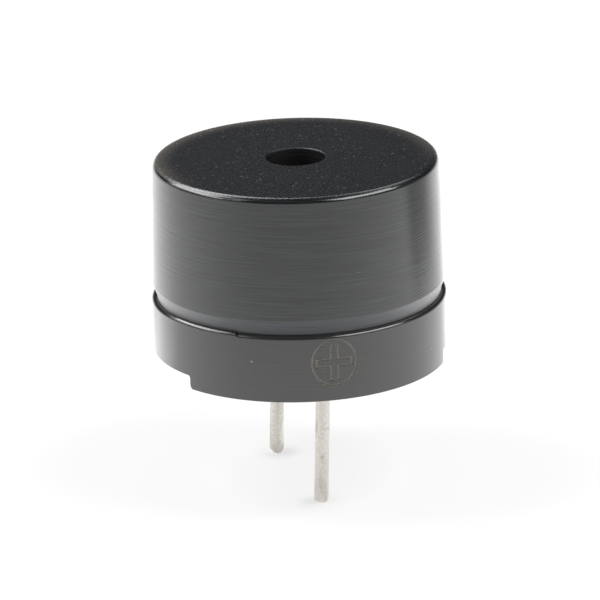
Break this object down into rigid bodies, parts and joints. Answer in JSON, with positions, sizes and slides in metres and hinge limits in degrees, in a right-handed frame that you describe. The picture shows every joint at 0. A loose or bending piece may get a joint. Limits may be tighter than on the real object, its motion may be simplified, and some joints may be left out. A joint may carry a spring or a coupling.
{
  "type": "mini speaker",
  "caption": "Round black mini speaker for a circuit board, with a sound hole in the top of its lidded plastic case and two tinned pins below.",
  "frame": {"origin": "midway between the two pins, on the surface of the circuit board that the speaker sits on", "axes": "+Z away from the board through the sound hole; the pins lie along Y, with the positive pin at -Y"},
  "size_m": [0.012, 0.012, 0.0137],
  "materials": {
    "case_plastic": "fine matte moulded black",
    "tin": "dull tinned",
    "resin": "cured black resin",
    "board": "glass-fibre board",
    "solder": "solder",
    "steel": "plated steel",
    "iron": "soft iron",
    "copper": "enamelled copper wire",
    "magnet": "dark sintered"
  },
  "bodies": {
    "root": {"case_cap": "case_plastic", "base_housing": "case_plastic", "pin_positive": "tin", "pin_negative": "tin", "circuit_board": "board", "yoke_plate": "steel", "pole_core": "iron", "coil_winding": "copper", "ring_magnet": "magnet", "diaphragm": "steel", "armature_disc": "iron", "solder_positive": "solder", "solder_negative": "solder", "sealing_resin": "resin"}
  },
  "joints": []
}
